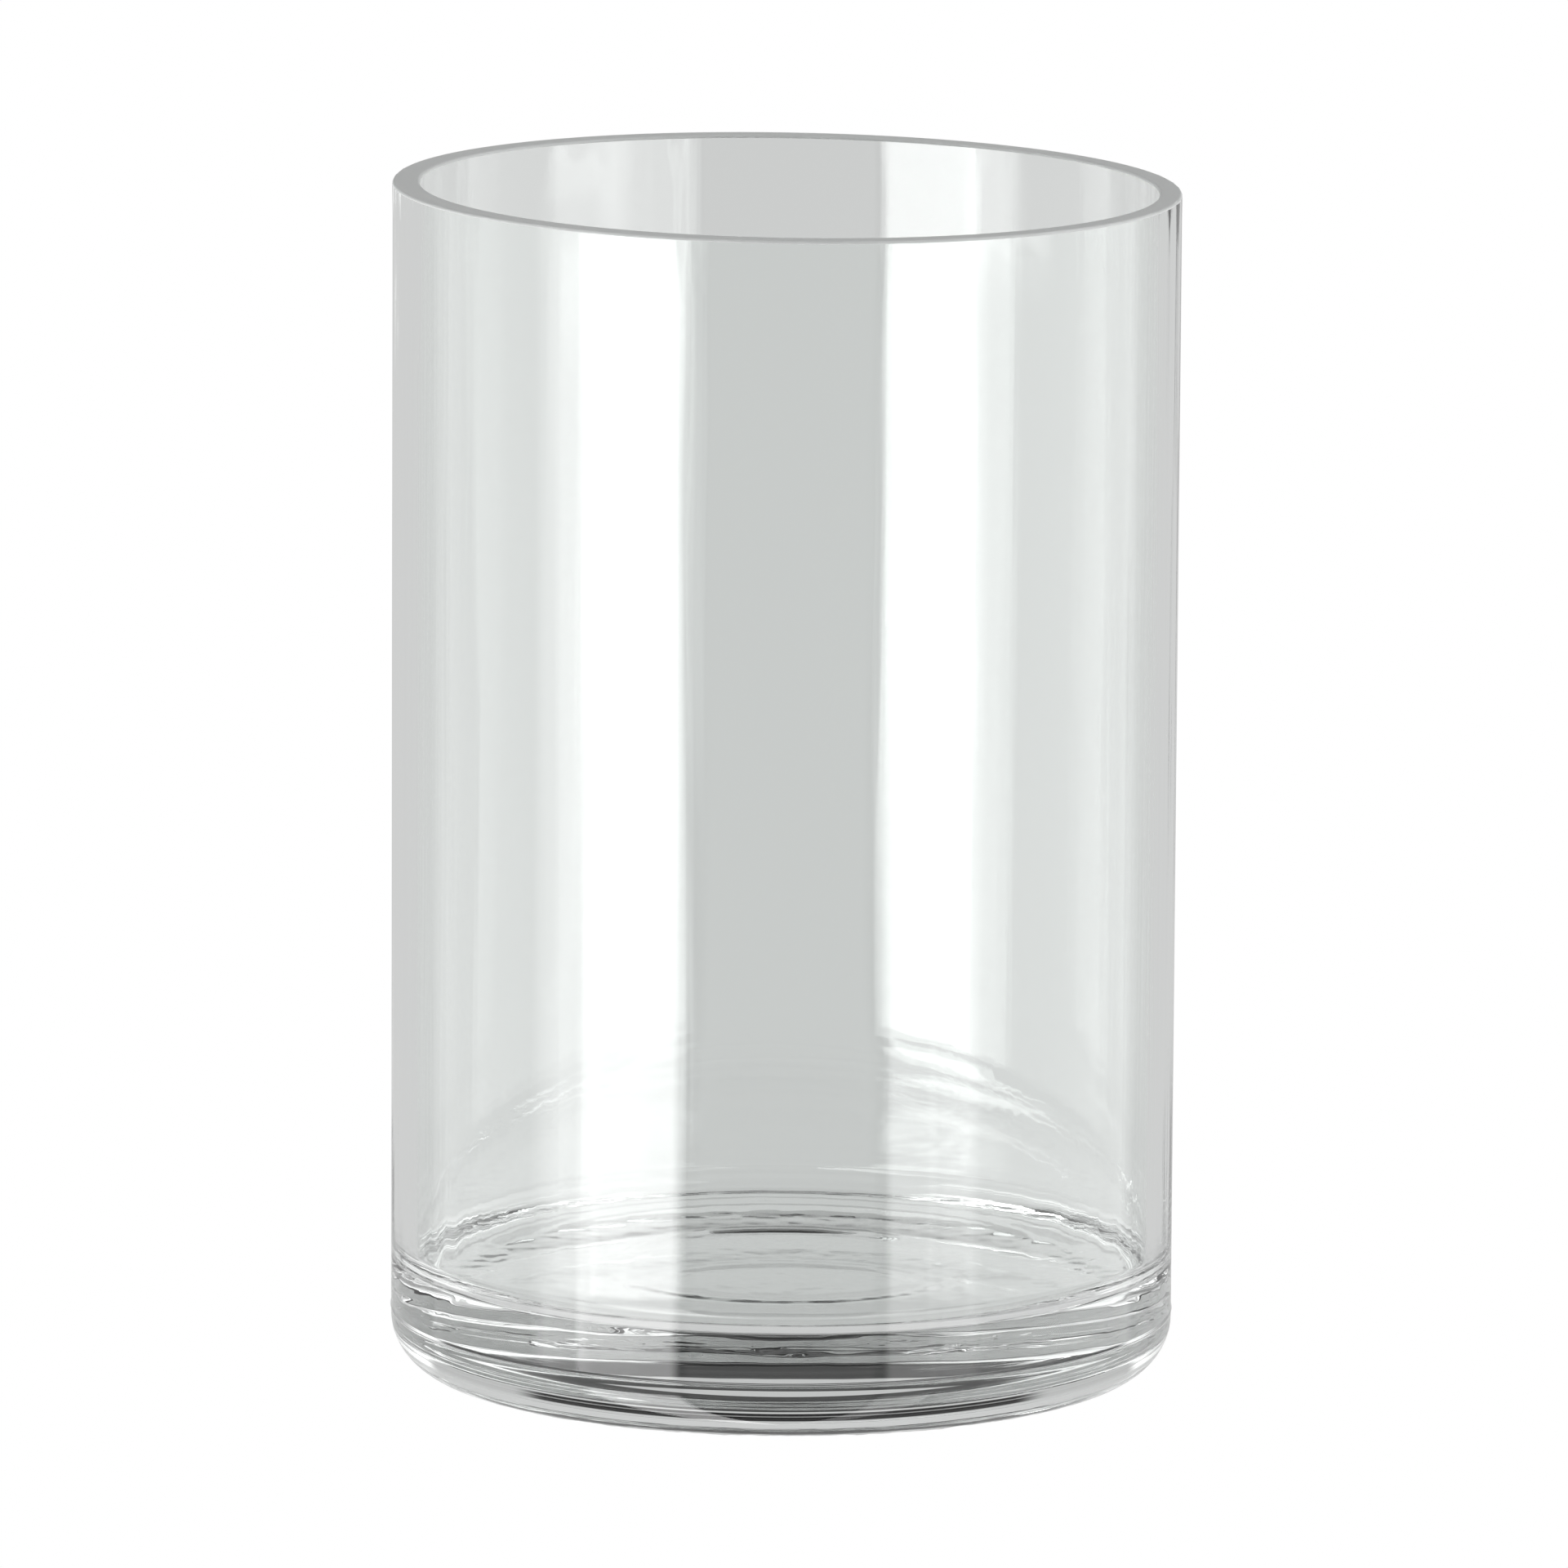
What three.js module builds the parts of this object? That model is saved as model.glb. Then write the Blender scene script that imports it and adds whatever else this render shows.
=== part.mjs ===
// Glass cylinder vase: a straight tube of clear glass on a thick solid base, with a ground rim.
//
// The vase is one body of revolution, so its whole shape is half a cross-section, which is drawn
// once as an outline in (radius, height) and turned round the vertical axis. Lengths are in
// millimetres, +Z is up, and the origin is the centre of the circle that the vase stands on.

import * as THREE from 'three';

// ---------------------------------------------------------------------------
// Driving dimensions
// ---------------------------------------------------------------------------

// Overall size and wall.
const OUTER_DIAMETER = 130;
const HEIGHT = 199;
const WALL_THICKNESS = 4.1;

// Rim: ground flat, with a small bevel on both of its edges.
const RIM_BEVEL = 0.5;

// Inside floor. Its middle is a flat disc with a low ring in it, and a gently climbing band runs
// from the disc to the fillet that turns up into the wall.
const FLOOR_HEIGHT = 17.1;
const FLOOR_BAND_WIDTH = 8.1;
const FLOOR_BAND_RISE = 0.5;
const FLOOR_FILLET_RADIUS = 4.5;
const FLOOR_RING_DIAMETER = 58;
const FLOOR_RING_WIDTH = 8;
const FLOOR_RING_HEIGHT = 0.1;

// Underside: a rounded heel, a flat ring that the vase stands on, and a shallow hollow inside it.
const HEEL_RADIUS = 9;
const FOOT_RING_WIDTH = 6;
const HOLLOW_DEPTH = 0.5;

// Fineness of the rounded stretches.
const TURNS = 96;
const HEEL_STEPS = 9;
const HOLLOW_STEPS = 6;
const FILLET_STEPS = 8;
const RING_STEPS = 6;

// ---------------------------------------------------------------------------
// Sizes that follow from them
// ---------------------------------------------------------------------------

const outerRadius = OUTER_DIAMETER / 2;
const innerRadius = outerRadius - WALL_THICKNESS;
const footOuterRadius = outerRadius - HEEL_RADIUS;
const footInnerRadius = footOuterRadius - FOOT_RING_WIDTH;
const filletFootRadius = innerRadius - FLOOR_FILLET_RADIUS;
const floorDiscRadius = filletFootRadius - FLOOR_BAND_WIDTH;
const bandTopHeight = FLOOR_HEIGHT + FLOOR_BAND_RISE;

// ---------------------------------------------------------------------------
// Stretches of the cross-section, from the underside's centre round to the floor's centre.
// Each returns points with x as the radius and y as the height.
// ---------------------------------------------------------------------------

function arc(centreRadius, centreHeight, radius, startDegrees, endDegrees, steps) {
  const start = THREE.MathUtils.degToRad(startDegrees);
  const end = THREE.MathUtils.degToRad(endDegrees);
  const curve = new THREE.EllipseCurve(centreRadius, centreHeight, radius, radius, start, end, end < start);
  return curve.getPoints(steps);
}

// The hollow is a spherical cap that dies out at the inner edge of the foot ring.
function undersideHollow() {
  const capRadius = (footInnerRadius ** 2 + HOLLOW_DEPTH ** 2) / (2 * HOLLOW_DEPTH);
  const edgeDegrees = THREE.MathUtils.radToDeg(Math.acos(footInnerRadius / capRadius));
  const capPoints = arc(0, HOLLOW_DEPTH - capRadius, capRadius, 90, edgeDegrees, HOLLOW_STEPS);
  return [
    new THREE.Vector2(0, HOLLOW_DEPTH),
    ...capPoints.slice(1, -1),
    new THREE.Vector2(footInnerRadius, 0),
  ];
}

function heel() {
  return [
    new THREE.Vector2(footOuterRadius, 0),
    ...arc(footOuterRadius, HEEL_RADIUS, HEEL_RADIUS, -90, 0, HEEL_STEPS).slice(1, -1),
    new THREE.Vector2(outerRadius, HEEL_RADIUS),
  ];
}

function rim() {
  return [
    new THREE.Vector2(outerRadius, HEIGHT - RIM_BEVEL),
    new THREE.Vector2(outerRadius - RIM_BEVEL, HEIGHT),
    new THREE.Vector2(innerRadius + RIM_BEVEL, HEIGHT),
    new THREE.Vector2(innerRadius, HEIGHT - RIM_BEVEL),
  ];
}

function floorFillet() {
  const centreHeight = bandTopHeight + FLOOR_FILLET_RADIUS;
  return arc(filletFootRadius, centreHeight, FLOOR_FILLET_RADIUS, 0, -90, FILLET_STEPS);
}

// A full cosine wave across the ring's width, so that it rises from the disc without an edge.
function floorRing() {
  const ringRadius = FLOOR_RING_DIAMETER / 2;
  return Array.from({ length: RING_STEPS + 1 }, (_, step) => {
    const across = step / RING_STEPS;
    const rise = (FLOOR_RING_HEIGHT * (1 - Math.cos(2 * Math.PI * across))) / 2;
    return new THREE.Vector2(ringRadius + FLOOR_RING_WIDTH * (0.5 - across), FLOOR_HEIGHT + rise);
  });
}

function insideFloor() {
  return [
    ...floorFillet(),
    new THREE.Vector2(floorDiscRadius, FLOOR_HEIGHT),
    ...floorRing(),
    new THREE.Vector2(0, FLOOR_HEIGHT),
  ];
}

// ---------------------------------------------------------------------------
// The vase
// ---------------------------------------------------------------------------

function buildVaseBody() {
  const outline = [...undersideHollow(), ...heel(), ...rim(), ...insideFloor()];
  const clearGlass = new THREE.MeshStandardMaterial({
    color: 0xe4e9e7,
    roughness: 0.03,
    metalness: 0,
    transparent: true,
    opacity: 0.35,
  });
  const mesh = new THREE.Mesh(new THREE.LatheGeometry(outline, TURNS), clearGlass);
  mesh.name = 'vase_body';
  // LatheGeometry turns its outline round +Y, and this stands that axis up along +Z.
  mesh.rotation.x = Math.PI / 2;
  return mesh;
}

const vase = new THREE.Group();
vase.name = 'glass_cylinder_vase';
vase.add(buildVaseBody());

export default vase;
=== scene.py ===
"""Looks of the glass cylinder vase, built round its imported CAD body.

The vase is one piece of clear soda-lime glass. It was blown into a mould, which left a thick base,
a rounded heel, rings on the inside floor and a wrinkled underside, and then its top was sawn off
and ground, which left a flat satin rim. Lengths are in metres and +Z is up.
"""

import logging
import math
from collections.abc import Callable, Iterator
from contextlib import contextmanager
from dataclasses import dataclass, field
from enum import Enum

import bmesh
import bpy
from mathutils import Euler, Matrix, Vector


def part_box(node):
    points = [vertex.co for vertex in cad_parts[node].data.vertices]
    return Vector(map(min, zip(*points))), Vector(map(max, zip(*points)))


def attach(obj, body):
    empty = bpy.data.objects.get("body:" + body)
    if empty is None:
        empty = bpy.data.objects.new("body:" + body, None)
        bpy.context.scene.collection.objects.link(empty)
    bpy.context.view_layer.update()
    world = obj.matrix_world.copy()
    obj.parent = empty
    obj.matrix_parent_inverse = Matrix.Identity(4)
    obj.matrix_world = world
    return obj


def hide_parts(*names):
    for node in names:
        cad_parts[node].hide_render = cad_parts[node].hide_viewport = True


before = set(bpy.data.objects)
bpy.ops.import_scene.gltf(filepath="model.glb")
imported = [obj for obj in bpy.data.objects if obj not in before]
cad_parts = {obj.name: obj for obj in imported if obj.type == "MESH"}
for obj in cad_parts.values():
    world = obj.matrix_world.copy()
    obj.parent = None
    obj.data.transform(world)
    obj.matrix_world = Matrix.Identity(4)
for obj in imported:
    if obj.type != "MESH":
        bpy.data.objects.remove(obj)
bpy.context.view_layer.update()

MM = 0.001
CAD_NODE = "vase_body"

# How far a vertex may lie from a level and still count as being on it.
LEVEL_TOLERANCE = 0.01 * MM
# A face counts as flat above the first of these vertical shares of its normal, and as upright
# below the second.
FLAT = 0.9
UPRIGHT = 0.5
# How often light may bounce on its way through the thick base.
LIGHT_BOUNCES = 32

log = logging.getLogger("vase")


# ---------------------------------------------------------------------------
# Small tools
# ---------------------------------------------------------------------------


def linear(hex_colour: str) -> tuple[float, float, float, float]:
    """Turn an sRGB hex colour into the linear colour that shaders use.

    Args:
        hex_colour: Six hex digits after a hash, such as "#F4F8F6".

    Returns:
        Linear red, green and blue, with an alpha of 1.
    """
    channels = [int(hex_colour[i : i + 2], 16) / 255 for i in (1, 3, 5)]
    curved = [c / 12.92 if c <= 0.04045 else ((c + 0.055) / 1.055) ** 2.4 for c in channels]
    return (*curved, 1.0)


def add_node(
    tree: bpy.types.NodeTree,
    kind: str,
    settings: dict[str, object] | None = None,
    inputs: dict[str | int, object] | None = None,
) -> bpy.types.Node:
    """Add one shader node with its settings, socket values and incoming links.

    Args:
        tree: The node tree to add it to.
        kind: The node's type, such as "ShaderNodeBump".
        settings: Node properties and their values.
        inputs: Sockets by name or number. An output socket as the value is linked, and anything
            else is set on the socket itself.

    Returns:
        The new node.
    """
    node = tree.nodes.new(kind)
    for name, value in (settings or {}).items():
        setattr(node, name, value)
    for key, value in (inputs or {}).items():
        if isinstance(value, bpy.types.NodeSocket):
            tree.links.new(value, node.inputs[key])
        else:
            node.inputs[key].default_value = value
    return node


def empty_material(name: str) -> bpy.types.Material:
    """Make a material whose node tree is still empty.

    Args:
        name: The material's name.

    Returns:
        The new material.
    """
    material = bpy.data.materials.new(name)
    material.use_nodes = True
    material.node_tree.nodes.clear()
    return material


def select_only(obj: bpy.types.Object) -> None:
    """Select one object, deselect the rest, and make it the active one.

    Args:
        obj: The object to select.
    """
    bpy.ops.object.select_all(action="DESELECT")
    obj.select_set(True)
    bpy.context.view_layer.objects.active = obj


@contextmanager
def editing(obj: bpy.types.Object) -> Iterator[None]:
    """Open one object's mesh in edit mode, with nothing else selected, and close it again.

    Args:
        obj: The object to edit.

    Yields:
        Nothing. The mesh is open until the block ends.
    """
    select_only(obj)
    bpy.ops.object.mode_set(mode="EDIT")
    try:
        yield
    finally:
        bpy.ops.object.mode_set(mode="OBJECT")


class Part(Enum):
    """The kinds of mesh element that can be picked in edit mode."""

    VERTS = "VERT"
    EDGES = "EDGE"
    FACES = "FACE"


def pick(obj: bpy.types.Object, part: Part, wanted: Callable[..., bool]) -> None:
    """Select only the wanted elements of the mesh that is open in edit mode.

    Args:
        obj: The object in edit mode.
        part: Which kind of element to pick.
        wanted: Says whether to select an element, given the BMesh element.
    """
    bpy.ops.mesh.select_mode(type=part.value)
    bpy.ops.mesh.select_all(action="DESELECT")
    mesh = bmesh.from_edit_mesh(obj.data)
    elements = {Part.VERTS: mesh.verts, Part.EDGES: mesh.edges, Part.FACES: mesh.faces}[part]
    chosen = [element for element in elements if wanted(element)]
    for element in chosen:
        element.select_set(True)
    mesh.select_flush_mode()
    bmesh.update_edit_mesh(obj.data)


def radius_of(point: Vector) -> float:
    """Measure how far a point is from the vase's axis.

    Args:
        point: The point, in metres.

    Returns:
        Its distance from the axis.
    """
    return math.hypot(point.x, point.y)


def is_centred(face: bmesh.types.BMFace) -> bool:
    """Say whether a face lies evenly round the vase's axis.

    Args:
        face: The face to look at.

    Returns:
        True if its middle is within 1 mm of the axis.
    """
    return radius_of(face.calc_center_median()) < MM


def smooth_step(low: float, high: float, value: float) -> float:
    """Rise smoothly from 0 at one value to 1 at another.

    Args:
        low: Where the rise starts.
        high: Where it ends.
        value: Where to read it.

    Returns:
        A share from 0 to 1.
    """
    t = min(max((value - low) / (high - low), 0.0), 1.0)
    return t * t * (3 - 2 * t)


# ---------------------------------------------------------------------------
# Finishes
# ---------------------------------------------------------------------------


@dataclass(frozen=True)
class ClearGlass:
    """Fire-polished soda-lime glass: sharp reflections, and a trace of green-grey in thick parts.

    Fine striae run up the walls, as cords that the glass drew out when it was blown. They put thin
    upright lines in the reflections.
    """

    name: str = "soda_lime_glass_fire_polished"
    colour: str = "#FDFFFE"
    ior: float = 1.52
    stria_width_mm: float = 1.8
    stria_length_mm: float = 90.0
    stria_height_mm: float = 0.012
    wall_foot_mm: float = 24.0
    foot_fade_mm: float = 12.0

    def material(self) -> bpy.types.Material:
        """Make the material of the walls, the floor and the heel.

        Returns:
            The clear glass, with its striae fading in above the foot of the wall.
        """
        material = empty_material(self.name)
        tree = material.node_tree
        place = add_node(tree, "ShaderNodeTexCoord").outputs["Object"]
        across = 1 / (self.stria_width_mm * MM)
        along = 1 / (self.stria_length_mm * MM)
        drawn = add_node(
            tree,
            "ShaderNodeVectorMath",
            {"operation": "MULTIPLY"},
            {0: place, 1: (across, across, along)},
        )
        striae = add_node(
            tree,
            "ShaderNodeTexNoise",
            inputs={"Vector": drawn.outputs[0], "Scale": 1.0, "Detail": 1.0},
        )
        height = add_node(tree, "ShaderNodeSeparateXYZ", inputs={0: place}).outputs["Z"]
        on_wall = add_node(
            tree,
            "ShaderNodeMapRange",
            inputs={
                "Value": height,
                "From Min": self.wall_foot_mm * MM,
                "From Max": (self.wall_foot_mm + self.foot_fade_mm) * MM,
            },
        )
        bump = add_node(
            tree,
            "ShaderNodeBump",
            inputs={
                "Strength": on_wall.outputs[0],
                "Distance": self.stria_height_mm * MM,
                "Height": striae.outputs[0],
            },
        )
        glass = add_node(
            tree,
            "ShaderNodeBsdfPrincipled",
            inputs={
                "Base Color": linear(self.colour),
                "Roughness": 0.0,
                "IOR": self.ior,
                "Transmission Weight": 1.0,
                "Normal": bump.outputs[0],
            },
        )
        add_node(tree, "ShaderNodeOutputMaterial", inputs={"Surface": glass.outputs[0]})
        return material


@dataclass(frozen=True)
class GroundGlass:
    """Glass ground on a wet belt and left satin: it scatters light, so it shows as a pale band.

    The haze is the share of light that scatters and doesn't pass through.
    """

    name: str = "soda_lime_glass_ground"
    colour: str = "#F6F8F7"
    ior: float = 1.52
    roughness: float = 0.45
    haze: float = 0.92
    grit_mm: float = 0.35
    grit_height_mm: float = 0.02
    grit_strength: float = 0.35

    def material(self) -> bpy.types.Material:
        """Make the material of the rim's flat and of its two bevels.

        Returns:
            The satin glass.
        """
        material = empty_material(self.name)
        tree = material.node_tree
        place = add_node(tree, "ShaderNodeTexCoord").outputs["Object"]
        grit = add_node(
            tree,
            "ShaderNodeTexNoise",
            inputs={"Vector": place, "Scale": 1 / (self.grit_mm * MM), "Detail": 2.0},
        )
        bump = add_node(
            tree,
            "ShaderNodeBump",
            inputs={
                "Strength": self.grit_strength,
                "Distance": self.grit_height_mm * MM,
                "Height": grit.outputs[0],
            },
        )
        glass = add_node(
            tree,
            "ShaderNodeBsdfPrincipled",
            inputs={
                "Base Color": linear(self.colour),
                "Roughness": self.roughness,
                "IOR": self.ior,
                "Transmission Weight": 1 - self.haze,
                "Normal": bump.outputs[0],
            },
        )
        add_node(tree, "ShaderNodeOutputMaterial", inputs={"Surface": glass.outputs[0]})
        return material


# ---------------------------------------------------------------------------
# The vase
# ---------------------------------------------------------------------------


@dataclass(frozen=True)
class Relief:
    """One kind of unevenness in the glass.

    It has a grain, a height from deepest trough to highest crest, and a stretch along each axis.
    The proud share of its height stands out from the surface, and the rest sinks in.
    """

    name: str
    grain: float
    height: float
    octaves: int = 1
    stretch: tuple[float, float, float] = (1.0, 1.0, 1.0)
    proud: float = 0.5


@dataclass
class VaseBody:
    """The one piece of glass: a blank cylinder that is hollowed, rounded, ringed and rippled.

    The outer size comes from the CAD body. The rest are the sizes of the real features. The seam's
    profile gives heights across the seam, in seam widths, and the rise at each of them.
    """

    height: float = 0.0
    outer_radius: float = 0.0
    wall: float = 4.1 * MM
    rim_bevel: float = 0.5 * MM
    floor_height: float = 17.1 * MM
    band_width: float = 8.1 * MM
    band_rise: float = 0.5 * MM
    fillet: float = 4.5 * MM
    floor_ring_radius: float = 29.0 * MM
    floor_ring_width: float = 8.0 * MM
    floor_ring_height: float = 0.1 * MM
    heel: float = 9.0 * MM
    foot_ring_width: float = 6.0 * MM
    hollow_depth: float = 0.5 * MM
    seam_height: float = 10.2 * MM
    seam_width: float = 1.0 * MM
    seam_rise: float = 0.12 * MM
    seam_profile: tuple[tuple[float, float], ...] = (
        (-0.5, 0.0),
        (-0.25, 0.5),
        (0.0, 1.0),
        (0.25, 0.5),
        (0.5, 0.0),
    )

    bore_shift: float = 0.4 * MM
    rim_slope_degrees: float = 0.65

    cords: Relief = Relief("wall_cords", 4.0 * MM, 0.05 * MM, 2, (1, 1, 25))
    waves: Relief = Relief("wall_waves", 45.0 * MM, 0.5 * MM, 0, (1, 1, 2))
    wrinkles: Relief = Relief("chill_wrinkles", 3.0 * MM, 0.6 * MM, 2, proud=0.2)
    chips: Relief = Relief("rim_chips", 1.2 * MM, 0.3 * MM, 1)
    tool_marks: Relief = Relief("floor_tool_marks", 14.0 * MM, 0.04 * MM, 1)

    sides: int = 320
    ring_step: float = 1.0 * MM
    wall_cuts: int = 35
    heel_steps: int = 16
    fillet_steps: int = 10
    bevel_steps: int = 4
    smooth_below_degrees: float = 35.0
    vase: bpy.types.Object | None = field(default=None, repr=False)

    def __post_init__(self) -> None:
        """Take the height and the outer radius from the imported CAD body."""
        low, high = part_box(CAD_NODE)
        self.height = high.z - low.z
        self.outer_radius = (high.x - low.x) / 2

    @property
    def inner_radius(self) -> float:
        """Radius of the bore."""
        return self.outer_radius - self.wall

    @property
    def mid_wall_radius(self) -> float:
        """Radius half way through the wall, which parts the inner skin from the outer one."""
        return (self.inner_radius + self.outer_radius) / 2

    @property
    def ground_from(self) -> float:
        """Height from which the glass belongs to the ground rim."""
        return self.height - 4 * self.rim_bevel

    @property
    def floor_edge_height(self) -> float:
        """Height where the floor meets the fillet."""
        return self.floor_height + self.band_rise

    @property
    def floor_edge_radius(self) -> float:
        """Radius where the floor meets the fillet."""
        return self.inner_radius - self.fillet

    @property
    def foot_outer_radius(self) -> float:
        """Outer radius of the flat ring that the vase stands on."""
        return self.outer_radius - self.heel

    @property
    def foot_inner_radius(self) -> float:
        """Inner radius of that ring, where the hollow underneath starts."""
        return self.foot_outer_radius - self.foot_ring_width

    def build(self) -> bpy.types.Object:
        """Model the vase, step by step.

        Returns:
            The finished object, at the origin, in CAD coordinates.
        """
        self.vase = self.cut_blank()
        with editing(self.vase):
            self.bore_out()
            self.round_edges()
            self.step_floor()
            self.hollow_underside()
            self.divide_walls()
            self.raise_seam()
            self.offset_bore()
            self.slope_rim()
        self.roughen()
        self.dress()
        return self.vase

    def cut_blank(self) -> bpy.types.Object:
        """Add the solid cylinder that the vase is cut from, with its place in its mesh.

        Returns:
            The cylinder, standing on z = 0.
        """
        bpy.ops.object.select_all(action="DESELECT")
        bpy.ops.mesh.primitive_cylinder_add(
            vertices=self.sides,
            radius=self.outer_radius,
            depth=self.height,
            end_fill_type="NGON",
            location=(0, 0, self.height / 2),
        )
        bpy.ops.object.transform_apply(location=True, rotation=True, scale=True)
        blank = bpy.context.active_object
        blank.name = "glass_vase"
        blank.data.name = "glass_vase"
        return blank

    def bore_out(self) -> None:
        """Inset the top by the wall and push the middle down to the floor's edge."""
        pick(
            self.vase,
            Part.FACES,
            lambda f: f.calc_center_median().z > self.height - MM and f.normal.z > FLAT,
        )
        bpy.ops.mesh.inset(thickness=self.wall, depth=0)
        depth = self.height - self.floor_edge_height
        bpy.ops.mesh.extrude_region_move(TRANSFORM_OT_translate={"value": (0, 0, -depth)})

    def round_edges(self) -> None:
        """Round the heel, the corner of the floor, and both edges of the rim."""

        def on_level(edge: bmesh.types.BMEdge, level: float) -> bool:
            return all(abs(v.co.z - level) < LEVEL_TOLERANCE for v in edge.verts)

        def outside(edge: bmesh.types.BMEdge) -> bool:
            return all(radius_of(v.co) > self.mid_wall_radius for v in edge.verts)

        def inside(edge: bmesh.types.BMEdge) -> bool:
            return all(radius_of(v.co) < self.mid_wall_radius for v in edge.verts)

        def round_off(wanted: Callable[..., bool], radius: float, steps: int) -> None:
            pick(self.vase, Part.EDGES, wanted)
            bpy.ops.mesh.bevel(offset=radius, segments=steps, profile=0.5, affect="EDGES")

        floor_edge = self.floor_edge_height
        round_off(lambda e: on_level(e, 0.0) and outside(e), self.heel, self.heel_steps)
        round_off(lambda e: on_level(e, floor_edge) and inside(e), self.fillet, self.fillet_steps)
        round_off(
            lambda e: on_level(e, self.height) and (outside(e) or inside(e)),
            self.rim_bevel,
            self.bevel_steps,
        )

    def inset_rings(self, start: float, height_at: Callable[[float], float], sign: int) -> None:
        """Inset the selected round face ring by ring to its centre, setting each ring's height.

        Args:
            start: Radius of the selected face.
            height_at: Gives the surface's height at a radius.
            sign: 1 if the face looks up, and -1 if it looks down.
        """
        radius = start
        level = height_at(start)
        innermost = 1.5 * self.ring_step
        while radius > innermost:
            next_radius = radius - self.ring_step
            next_level = height_at(next_radius)
            bpy.ops.mesh.inset(thickness=self.ring_step, depth=sign * (next_level - level))
            radius, level = next_radius, next_level
        bpy.ops.mesh.merge(type="COLLAPSE")

    def floor_profile(self, radius: float) -> float:
        """Work out the inside floor's height: a flat disc, a low ring and a climbing band.

        Args:
            radius: Distance from the axis.

        Returns:
            The floor's height there.
        """
        disc_radius = self.floor_edge_radius - self.band_width
        climb = self.band_rise * smooth_step(disc_radius, self.floor_edge_radius, radius)
        across = (radius - self.floor_ring_radius) / (self.floor_ring_width / 2)
        ring = 0.0
        if abs(across) < 1:
            ring = self.floor_ring_height * (1 + math.cos(math.pi * across)) / 2
        return self.floor_height + climb + ring

    def step_floor(self) -> None:
        """Turn the flat floor into rings that follow the floor's profile."""
        pick(self.vase, Part.FACES, lambda f: f.normal.z > FLAT and is_centred(f))
        self.inset_rings(self.floor_edge_radius, self.floor_profile, 1)

    def hollow_profile(self, radius: float) -> float:
        """Work out the underside's height: a spherical cap that starts at the foot ring.

        Args:
            radius: Distance from the axis.

        Returns:
            The underside's height there.
        """
        cap = (self.foot_inner_radius**2 + self.hollow_depth**2) / (2 * self.hollow_depth)
        if radius >= self.foot_inner_radius:
            return 0.0
        return math.sqrt(cap**2 - radius**2) - (cap - self.hollow_depth)

    def hollow_underside(self) -> None:
        """Leave the foot ring flat and dish the underside within it."""
        pick(self.vase, Part.FACES, lambda f: f.normal.z < -FLAT and is_centred(f))
        self.inset_rings(self.foot_outer_radius, self.hollow_profile, -1)

    def divide_walls(self) -> None:
        """Cut the tall wall faces into rings, so that the walls can ripple."""
        pick(
            self.vase,
            Part.EDGES,
            lambda e: abs(e.verts[0].co.z - e.verts[1].co.z) > self.height / 2,
        )
        bpy.ops.mesh.subdivide(number_cuts=self.wall_cuts)

    def raise_seam(self) -> None:
        """Leave the low ridge at the wall's foot, where the mould's base plate met its side."""

        def on_outer_skin(point: Vector) -> bool:
            return radius_of(point) > self.outer_radius - MM

        for level, _ in self.seam_profile:
            height = self.seam_height + level * self.seam_width
            pick(
                self.vase,
                Part.FACES,
                lambda f: on_outer_skin(f.calc_center_median()) and abs(f.normal.z) < UPRIGHT,
            )
            bpy.ops.mesh.bisect(plane_co=(0, 0, height), plane_no=(0, 0, 1))
        for level, rise in self.seam_profile[1:-1]:
            height = self.seam_height + level * self.seam_width
            pick(
                self.vase,
                Part.VERTS,
                lambda v: abs(v.co.z - height) < LEVEL_TOLERANCE and on_outer_skin(v.co),
            )
            swell = 1 + rise * self.seam_rise / self.outer_radius
            bpy.ops.transform.resize(value=(swell, swell, 1), center_override=(0, 0, 0))

    def offset_bore(self) -> None:
        """Move the inner skin sideways, because the gather was blown a little off centre."""
        pick(
            self.vase,
            Part.VERTS,
            lambda v: radius_of(v.co) < self.mid_wall_radius and v.co.z > self.floor_height - MM,
        )
        bpy.ops.transform.translate(value=(self.bore_shift, 0, 0))

    def slope_rim(self) -> None:
        """Tip the ground rim by its small slope, with its highest point at the full height."""
        drop = self.outer_radius * math.sin(math.radians(self.rim_slope_degrees))
        below_bevel = self.height - 1.5 * self.rim_bevel
        pick(self.vase, Part.VERTS, lambda v: v.co.z > below_bevel)
        bpy.ops.transform.translate(value=(0, 0, -drop))
        bpy.ops.transform.rotate(
            value=math.radians(-self.rim_slope_degrees),
            orient_axis="Y",
            center_override=(0, 0, self.height - drop),
        )

    def roughen(self) -> None:
        """Add the unevenness of blown and moulded glass to each part of the surface."""
        # The cords run nearly up to the rim, and the waves die out well below it.
        wall_foot, wall_clear = self.heel, self.heel + 12 * MM
        cords_fade, cords_end = self.height - 6 * MM, self.height - MM
        waves_fade, waves_end = self.height - 50 * MM, self.height - 12 * MM
        # The wrinkles climb the heel, by 1 mm at the front and by 5 mm more at the back.
        wrinkles_start, wrinkles_full = 46 * MM, 56 * MM
        front_climb, further_climb = MM, 5 * MM
        climb_from, climb_to = -10 * MM, 30 * MM
        # The tool marks die out towards the fillet, and the chips keep to the outer edge.
        floor_low, floor_high = self.floor_height - MM, self.floor_height + 2 * MM
        marks_fade = self.floor_edge_radius - 3 * MM
        arris_from = self.outer_radius - 0.6 * self.rim_bevel

        def on_wall(point: Vector) -> float:
            below_rim = 1 - smooth_step(cords_fade, cords_end, point.z)
            return below_rim * smooth_step(wall_foot, wall_clear, point.z)

        def on_bore(point: Vector) -> float:
            if radius_of(point) >= self.mid_wall_radius:
                return 0.0
            return on_wall(point) * (1 - smooth_step(waves_fade, waves_end, point.z))

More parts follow.
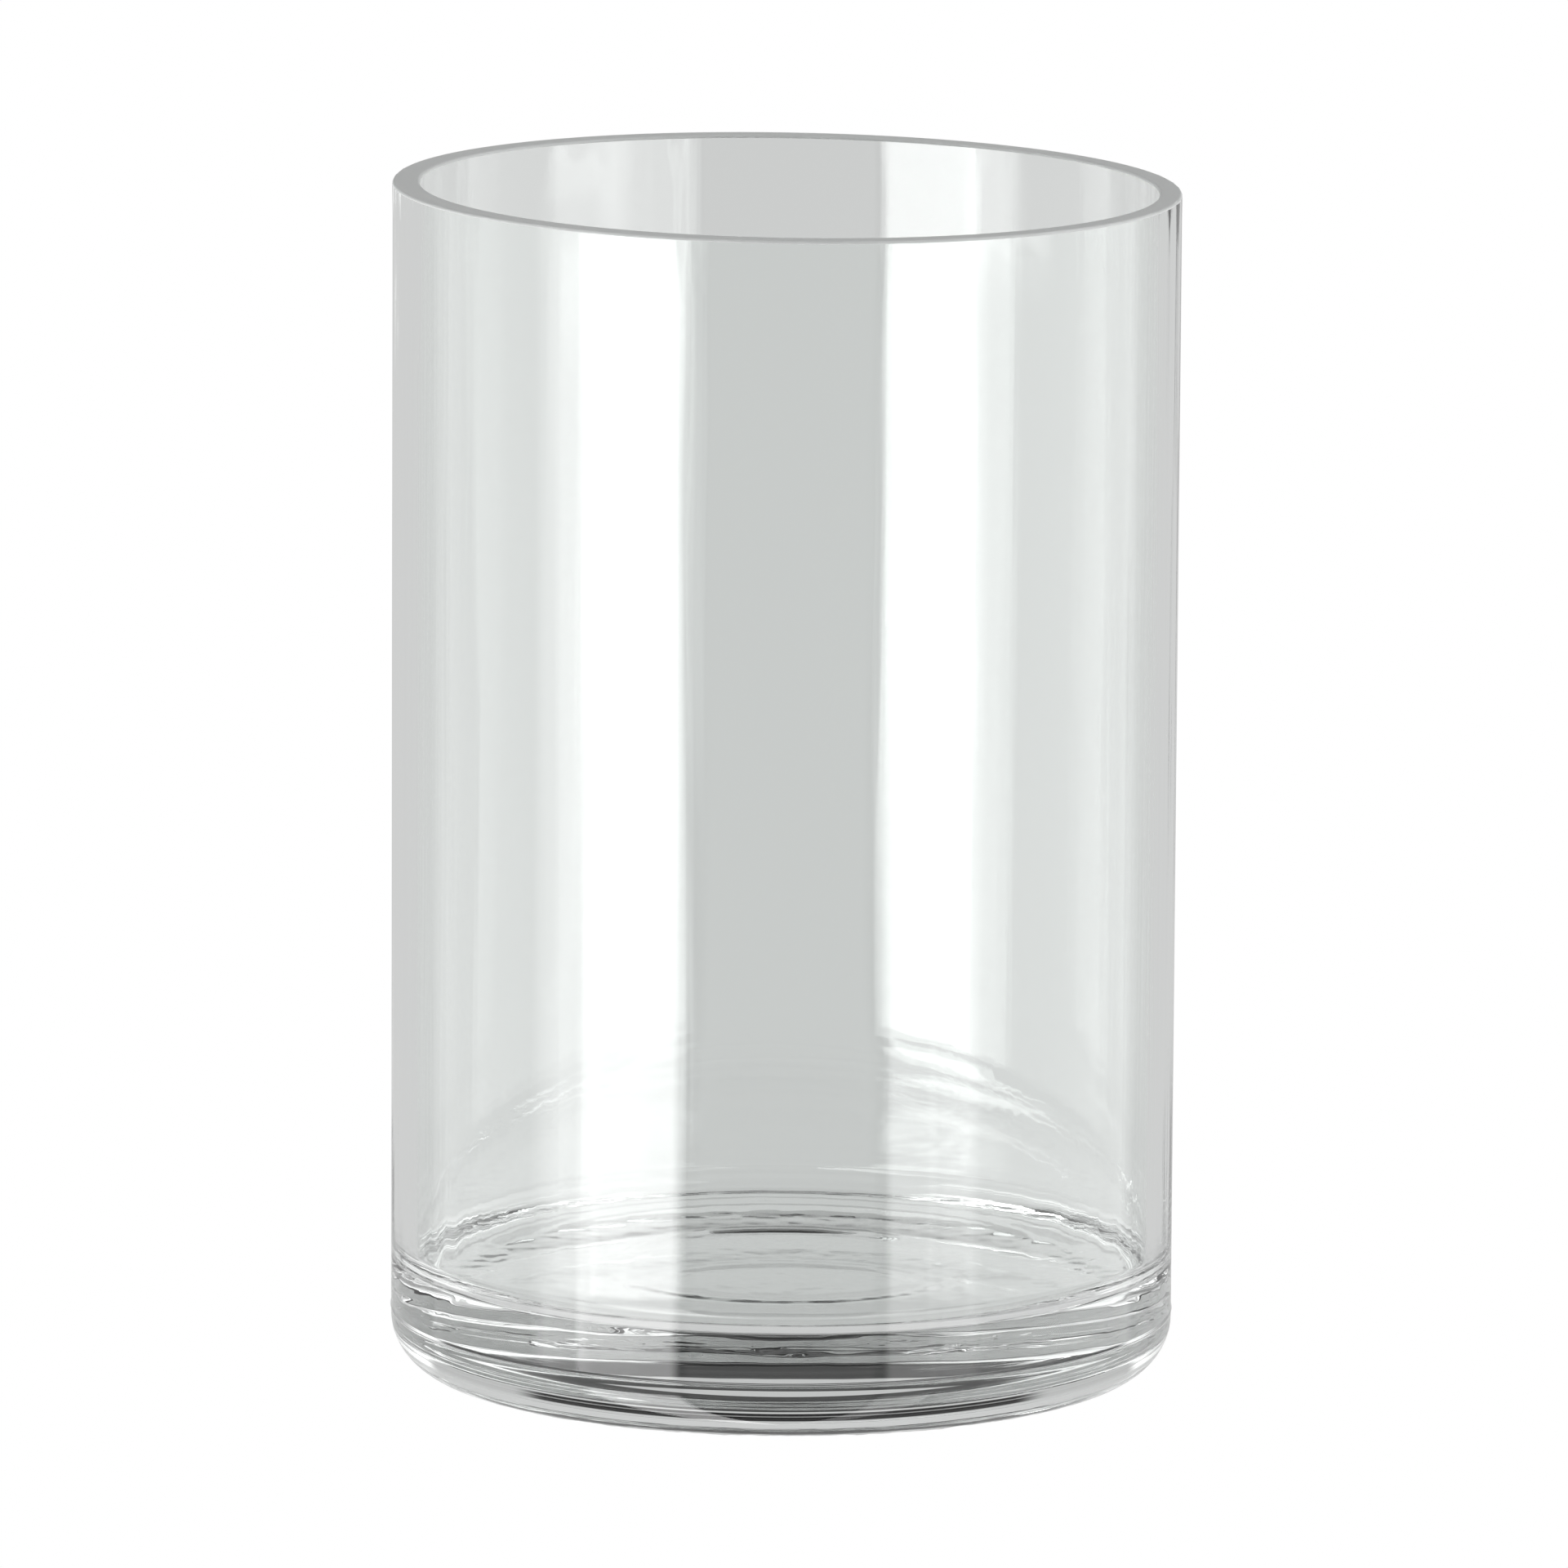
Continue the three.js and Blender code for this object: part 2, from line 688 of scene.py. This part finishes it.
        def underneath(point: Vector) -> float:
            if point.z > self.heel:
                return 0.0
            outwards = smooth_step(wrinkles_start, wrinkles_full, radius_of(point))
            climb = front_climb + further_climb * smooth_step(climb_from, climb_to, point.y)
            return outwards * (1 - smooth_step(climb / 3, climb, point.z))

        def on_floor(point: Vector) -> float:
            if not floor_low < point.z < floor_high:
                return 0.0
            return 1 - smooth_step(marks_fade, self.floor_edge_radius, radius_of(point))

        def on_arris(point: Vector) -> float:
            return 1.0 if point.z > self.ground_from and radius_of(point) > arris_from else 0.0

        self.ripple(self.waves, on_bore)
        self.ripple(self.cords, on_wall)
        self.ripple(self.wrinkles, underneath)
        self.ripple(self.tool_marks, on_floor)
        self.ripple(self.chips, on_arris)

    def ripple(self, relief: Relief, weight_at: Callable[[Vector], float]) -> None:
        """Displace part of the surface by one relief, and apply it to the mesh.

        Args:
            relief: The relief to add.
            weight_at: Gives how strongly it shows at a point, from 0 to 1.
        """
        group = self.vase.vertex_groups.new(name=relief.name)
        for vertex in self.vase.data.vertices:
            weight = weight_at(vertex.co)
            if weight > 0:
                group.add([vertex.index], weight, "REPLACE")
        texture = bpy.data.textures.new(relief.name, "CLOUDS")
        texture.noise_scale = relief.grain
        texture.noise_depth = relief.octaves
        gauge = bpy.data.objects.new(relief.name, None)
        gauge.scale = relief.stretch
        bpy.context.scene.collection.objects.link(gauge)
        displace = self.vase.modifiers.new(relief.name, "DISPLACE")
        displace.texture = texture
        displace.texture_coords = "OBJECT"
        displace.texture_coords_object = gauge
        displace.vertex_group = group.name
        displace.strength = relief.height
        displace.mid_level = 1 - relief.proud
        select_only(self.vase)
        bpy.ops.object.modifier_apply(modifier=displace.name)
        self.vase.vertex_groups.clear()
        bpy.data.objects.remove(gauge)
        bpy.data.textures.remove(texture)

    def dress(self) -> None:
        """Shade the mesh smooth and give each face its finish."""
        select_only(self.vase)
        bpy.ops.object.shade_smooth_by_angle(angle=math.radians(self.smooth_below_degrees))
        even = self.vase.modifiers.new("even_normals", "WEIGHTED_NORMAL")
        even.keep_sharp = True
        bpy.ops.object.modifier_apply(modifier=even.name)
        for finish in (ClearGlass(), GroundGlass()):
            self.vase.data.materials.append(finish.material())
        for face in self.vase.data.polygons:
            lowest = min(self.vase.data.vertices[v].co.z for v in face.vertices)
            face.material_index = 1 if lowest > self.ground_from else 0


# ---------------------------------------------------------------------------
# Studio
# ---------------------------------------------------------------------------


@dataclass(frozen=True)
class Panel:
    """One panel of the light tent, as a range of directions round the vase.

    Angles are in degrees. An azimuth of 0 is towards the camera, and 90 is to its right. An
    elevation of 0 is level, and 90 is straight up. The panel reaches half_width to each side of its
    azimuth and from the elevation low up to high. Its sides soften over the feather, and its top
    and bottom over the rise.
    """

    name: str
    azimuth: float
    half_width: float
    feather: float
    low: float
    high: float
    rise: float
    radiance: float


@dataclass
class LightTent:
    """A tent of pale panels all round, brightest at the softboxes in front of the vase.

    The panels lie in bands of elevation, which the walls, the floor, the mouth and the heel each
    mirror in their own way from the camera's height. The camera itself sees plain white.
    """

    panels: tuple[Panel, ...] = (
        Panel("table", 180, 149, 6, -100, 0.5, 1, 0.625),
        Panel("low_backdrop", 180, 55, 6, 8, 15, 1, 0.56),
        Panel("left_of_gap", -134, 16, 6, 0.5, 8, 1, 0.5),
        Panel("right_of_gap", 134, 16, 6, 0.5, 8, 1, 0.5),
        Panel("high_backdrop", 180, 55, 6, 15, 35, 4, 0.06),
        Panel("ceiling", 0, 190, 6, 75, 100, 6, 0.06),
        Panel("left_side", -93, 31, 6, -14, -6, 1, 0.5),
        Panel("left_upper", -93, 31, 6, 4, 70, 3, 1.3),
        Panel("right_side", 86, 39, 6, -14, -6, 1, 0.65),
        Panel("right_upper", 86, 39, 6, 4, 70, 3, 1.5),
        Panel("key_softbox", -46.5, 15.5, 4, -12.8, -6, 0.4, 4.4),
        Panel("key_on_table", -46.5, 15.5, 4, -100, -24, 3, 4.4),
        Panel("key_spill", -68, 8, 8, -12.8, -6, 0.4, 2.0),
        Panel("fill_softbox", 39, 7.5, 3, -12.8, -6, 0.4, 1.5),
        Panel("fill_inner_edge", 31, 2.5, 2, -10, -6, 1.5, 1.5),
        Panel("fill_on_table", 38, 8.5, 3, -100, -24, 3, 1.5),
        Panel("fill_spill", 53, 7, 6, -12.8, -6, 0.4, 1.2),
        Panel("fill_top", 68, 14, 8, -8.0, -6, 1, 2.0),
        Panel("dark_front", 0, 28, 4, -100, -2, 3, 0.45),
    )

    def build(self) -> None:
        """Paint the panels on the world, by direction, for every ray but the camera's own."""
        world = bpy.data.worlds.new("light_tent")
        bpy.context.scene.world = world
        world.use_nodes = True
        tree = world.node_tree
        tree.nodes.clear()
        direction = add_node(tree, "ShaderNodeTexCoord").outputs["Generated"]
        split = add_node(tree, "ShaderNodeSeparateXYZ", inputs={0: direction})
        towards = self.math_node(tree, "MULTIPLY", split.outputs["Y"], -1.0)
        azimuth = self.math_node(tree, "ARCTAN2", split.outputs["X"], towards)
        elevation = self.math_node(tree, "ARCSINE", split.outputs["Z"])
        glows = [self.panel_glow(tree, azimuth, elevation, panel) for panel in self.panels]
        total = glows[0]
        for glow in glows[1:]:
            total = self.math_node(tree, "ADD", total, glow)
        colour = {"Color": (1, 1, 1, 1)}
        tent = add_node(tree, "ShaderNodeBackground", inputs={**colour, "Strength": total})
        white = add_node(tree, "ShaderNodeBackground", inputs={**colour, "Strength": 1.0})
        path = add_node(tree, "ShaderNodeLightPath")
        mix = add_node(
            tree,
            "ShaderNodeMixShader",
            inputs={0: path.outputs["Is Camera Ray"], 1: tent.outputs[0], 2: white.outputs[0]},
        )
        add_node(tree, "ShaderNodeOutputWorld", inputs={"Surface": mix.outputs[0]})

    @staticmethod
    def math_node(
        tree: bpy.types.NodeTree, operation: str, *values: object, label: str = ""
    ) -> bpy.types.NodeSocket:
        """Add one maths node.

        Args:
            tree: The node tree to add it to.
            operation: What it does, such as "ADD".
            values: Its inputs in order, each a number or an output socket.
            label: What the node is called in the tree.

        Returns:
            The socket with the result.
        """
        settings = {"operation": operation, "label": label}
        return add_node(tree, "ShaderNodeMath", settings, dict(enumerate(values))).outputs[0]

    @staticmethod
    def fade(
        tree: bpy.types.NodeTree, distance: bpy.types.NodeSocket, half_width: float, feather: float
    ) -> bpy.types.NodeSocket:
        """Add a node that falls from 1 to 0 across a panel's soft edge.

        Args:
            tree: The node tree to add it to.
            distance: Angle from the panel's middle, in radians.
            half_width: Angle from its middle to the middle of its edge, in degrees.
            feather: Width of the soft edge, in degrees.

        Returns:
            The socket with the panel's share.
        """
        edges = {
            "Value": distance,
            "From Min": math.radians(half_width - feather / 2),
            "From Max": math.radians(half_width + feather / 2),
            "To Min": 1.0,
            "To Max": 0.0,
        }
        settings = {"interpolation_type": "SMOOTHSTEP"}
        return add_node(tree, "ShaderNodeMapRange", settings, edges).outputs[0]

    def panel_glow(
        self,
        tree: bpy.types.NodeTree,
        azimuth: bpy.types.NodeSocket,
        elevation: bpy.types.NodeSocket,
        panel: Panel,
    ) -> bpy.types.NodeSocket:
        """Add the nodes that give one panel's brightness in a direction.

        Args:
            tree: The world's node tree.
            azimuth: The direction's azimuth in radians.
            elevation: The direction's elevation in radians.
            panel: The panel to paint.

        Returns:
            The socket with the panel's brightness.
        """
        turn = self.math_node(tree, "SUBTRACT", azimuth, math.radians(panel.azimuth))
        wrapped = self.math_node(tree, "WRAP", turn, math.pi, -math.pi)
        across = self.math_node(tree, "ABSOLUTE", wrapped)
        middle = math.radians((panel.low + panel.high) / 2)
        up = self.math_node(tree, "ABSOLUTE", self.math_node(tree, "SUBTRACT", elevation, middle))
        seen = self.math_node(
            tree,
            "MULTIPLY",
            self.fade(tree, across, panel.half_width, panel.feather),
            self.fade(tree, up, (panel.high - panel.low) / 2, panel.rise),
        )
        return self.math_node(tree, "MULTIPLY", seen, panel.radiance, label=panel.name)


@dataclass
class Sweep:
    """The plain white floor that the vase stands on."""

    size: float = 12.0

    def build(self) -> None:
        """Lay the floor, which the camera sees as plain white and the glass doesn't mirror."""
        bpy.ops.object.select_all(action="DESELECT")
        bpy.ops.mesh.primitive_plane_add(size=self.size, location=(0, 0, 0))
        floor = bpy.context.active_object
        floor.name = "studio_floor"
        material = empty_material("white_sweep")
        tree = material.node_tree
        glow = add_node(
            tree, "ShaderNodeEmission", inputs={"Color": (1, 1, 1, 1), "Strength": 1.0}
        )
        add_node(tree, "ShaderNodeOutputMaterial", inputs={"Surface": glow.outputs[0]})
        floor.data.materials.append(material)
        for ray in ("diffuse", "glossy", "transmission", "volume_scatter", "shadow"):
            setattr(floor, f"visible_{ray}", False)


@dataclass
class ViewCamera:
    """A long lens that looks a little down on the vase."""

    distance: float = 2.549
    elevation: float = 10.15
    aim_height: float = 98.1 * MM
    roll: float = 0.33
    lens: float = 353.0
    sensor: float = 36.0
    far_clip: float = 50.0

    def build(self) -> None:
        """Place the camera, aimed near the vase's middle, and make it the scene's."""
        data = bpy.data.cameras.new("view_camera")
        data.lens = self.lens
        data.sensor_width = self.sensor
        data.clip_end = self.far_clip
        camera = bpy.data.objects.new("view_camera", data)
        bpy.context.scene.collection.objects.link(camera)
        angle = math.radians(self.elevation)
        back = Vector((0, -math.cos(angle), math.sin(angle)))
        camera.location = Vector((0, 0, self.aim_height)) + back * self.distance
        aim = (-back).to_track_quat("-Z", "Y")
        camera.rotation_mode = "QUATERNION"
        camera.rotation_quaternion = aim @ Euler((0, 0, math.radians(self.roll))).to_quaternion()
        bpy.context.scene.camera = camera


def set_colour_and_light_paths() -> None:
    """Show colours as they are, and let light bounce through thick glass as often as it needs."""
    scene = bpy.context.scene
    scene.view_settings.view_transform = "Standard"
    scene.cycles.max_bounces = LIGHT_BOUNCES
    scene.cycles.transmission_bounces = LIGHT_BOUNCES
    scene.cycles.glossy_bounces = LIGHT_BOUNCES


def main() -> None:
    """Build the studio and the vase, and report each piece."""
    logging.basicConfig(level=logging.INFO, format="%(name)s: %(message)s")
    set_colour_and_light_paths()
    body = VaseBody()
    ViewCamera().build()
    LightTent().build()
    Sweep().build()
    vase = body.build()
    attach(vase, "root")
    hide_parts(CAD_NODE)
    log.info("%s: %d faces", vase.name, len(vase.data.polygons))


if __name__ == "__main__":
    main()
